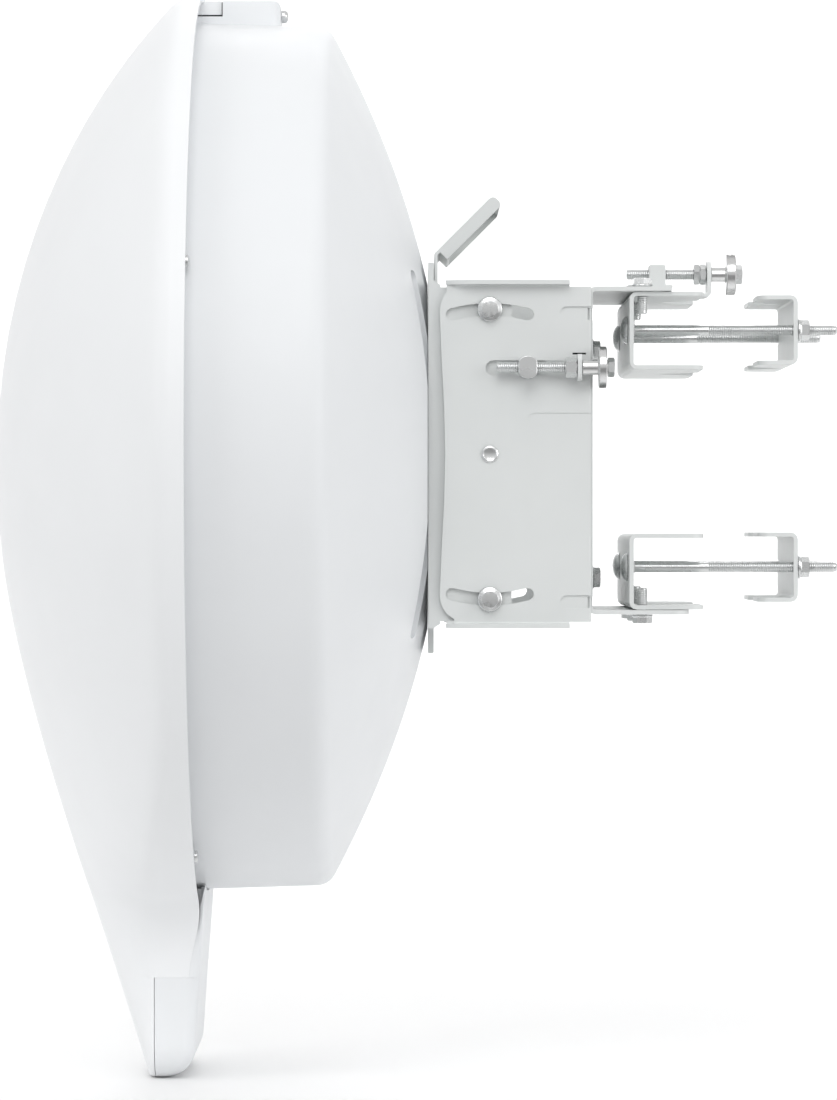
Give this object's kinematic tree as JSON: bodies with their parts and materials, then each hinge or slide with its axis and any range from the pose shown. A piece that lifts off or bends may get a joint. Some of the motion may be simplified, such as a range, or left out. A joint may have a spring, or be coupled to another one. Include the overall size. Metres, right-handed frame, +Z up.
{
  "type": "outdoor wireless bridge",
  "caption": "Dish radio for outdoor links: domed radome over a parabolic reflector, a tail with a socket cover, and a pole bracket with tilt and azimuth adjusters.",
  "frame": {"origin": "on the pole's axis, at the height of the dish's axis and tilt pivot", "axes": "+Z up along the pole, -X the way the dish looks, +X towards the pole clamp's outer jaws, -Y the adjusters' side"},
  "size_m": [0.4554, 0.502, 0.5875],
  "materials": {
    "radome_white": "satin moulded plastic",
    "housing_white": "satin moulded plastic",
    "bracket_grey": "light grey powder coat",
    "zinc": "zinc plated",
    "bright_steel": "turned and bright",
    "aluminium": "plain",
    "board": "solder mask",
    "antenna_tile": "fired ceramic look",
    "rubber": "matte",
    "socket_black": "satin"
  },
  "bodies": {
    "pole_clamp": {"upper_inner_clamp": "bracket_grey", "lower_inner_clamp": "bracket_grey", "carriage_bolt_near_upper": "zinc", "carriage_bolt_far_upper": "zinc", "carriage_bolt_near_lower": "zinc", "carriage_bolt_far_lower": "zinc", "azimuth_lock_bolt_near_upper": "zinc", "azimuth_lock_bolt_far_upper": "zinc", "azimuth_lock_bolt_near_lower": "zinc", "azimuth_lock_bolt_far_lower": "zinc", "azimuth_pivot_bolt_upper": "zinc", "azimuth_pivot_bolt_lower": "zinc"},
    "azimuth_frame": {"azimuth_bracket": "bracket_grey", "elevation_bracket": "bracket_grey", "bracket_bolt_near_upper": "zinc", "bracket_bolt_far_upper": "zinc", "bracket_bolt_near_lower": "zinc", "bracket_bolt_far_lower": "zinc"},
    "dish": {"mount_plate": "bracket_grey", "carry_handle": "bracket_grey", "pivot_pin_near": "zinc", "pivot_pin_far": "zinc", "elevation_lock_bolt_near_upper": "zinc", "elevation_lock_bolt_far_upper": "zinc", "elevation_lock_bolt_near_lower": "zinc", "elevation_lock_bolt_far_lower": "zinc", "rear_housing": "housing_white", "radome_shell": "radome_white", "radome_seal": "rubber", "tail_housing": "housing_white", "latch_housing": "housing_white", "main_reflector": "aluminium", "feed_horn": "bright_steel", "radio_case": "aluminium", "radio_cover": "aluminium", "main_board": "board", "aux_antenna_board": "board", "gps_antenna": "antenna_tile", "ethernet_jack": "socket_black", "sfp_cage": "bright_steel"},
    "latch_knob": {"latch_screw": "zinc"},
    "tail_door": {"port_cover": "housing_white", "cable_gland": "rubber"},
    "elevation_knob": {"elevation_screw": "zinc", "elevation_wheel": "bright_steel", "elevation_collar": "zinc"},
    "elevation_nut": {"barrel_nut": "zinc"},
    "azimuth_knob": {"azimuth_screw": "zinc", "azimuth_wheel": "bright_steel", "azimuth_collar": "zinc"},
    "azimuth_nut": {"azimuth_nut_block": "bracket_grey"},
    "upper_jaw": {"upper_outer_clamp": "bracket_grey", "flange_nut_near_upper": "zinc", "flange_nut_far_upper": "zinc"},
    "lower_jaw": {"lower_outer_clamp": "bracket_grey", "flange_nut_near_lower": "zinc", "flange_nut_far_lower": "zinc"}
  },
  "joints": [
    {"name": "azimuth", "type": "hinge", "parent": "pole_clamp", "child": "azimuth_frame", "pos_m": [-0.0453, 0, 0], "axis": [0, 0, 1], "range_deg": [-7, 7]},
    {"name": "tilt", "type": "hinge", "parent": "azimuth_frame", "child": "dish", "pos_m": [-0.127, 0, 0], "axis": [0, 1, 0], "range_deg": [-12, 12]},
    {"name": "elevation_knob_turn", "type": "hinge", "parent": "azimuth_frame", "child": "elevation_knob", "pos_m": [-0.067, -0.087, 0.046], "axis": [1, 0, 0], "range_deg": [-4140, 4140]},
    {"name": "elevation_nut_slide", "type": "slide", "parent": "azimuth_frame", "child": "elevation_nut", "axis": [1, 0, 0], "range_m": [-0.0116, 0.0116]},
    {"name": "azimuth_knob_turn", "type": "hinge", "parent": "pole_clamp", "child": "azimuth_knob", "pos_m": [0, -0.05, 0.0973], "axis": [1, 0, 0], "range_deg": [-2210, 2210]},
    {"name": "azimuth_nut_slide", "type": "slide", "parent": "pole_clamp", "child": "azimuth_nut", "axis": [1, 0, 0], "range_m": [-0.0063, 0.0063]},
    {"name": "upper_jaw_slide", "type": "slide", "parent": "pole_clamp", "child": "upper_jaw", "axis": [1, 0, 0], "range_m": [-0.0245, 0.012]},
    {"name": "lower_jaw_slide", "type": "slide", "parent": "pole_clamp", "child": "lower_jaw", "axis": [1, 0, 0], "range_m": [-0.0245, 0.012]},
    {"name": "port_cover_slide", "type": "slide", "parent": "dish", "child": "tail_door", "axis": [0, 0, -1], "range_m": [0, 0.06]},
    {"name": "latch_turn", "type": "hinge", "parent": "dish", "child": "latch_knob", "pos_m": [-0.2404, 0, 0.242], "axis": [1, 0, 0], "continuous": true}
  ],
  "couplings": [
    {"joint": "elevation_knob_turn", "follows": "tilt", "ratio": 343.7},
    {"joint": "elevation_nut_slide", "follows": "tilt", "m_per_rad": 0.0547},
    {"joint": "azimuth_knob_turn", "follows": "azimuth", "ratio": 314.2},
    {"joint": "azimuth_nut_slide", "follows": "azimuth", "m_per_rad": 0.05}
  ]
}
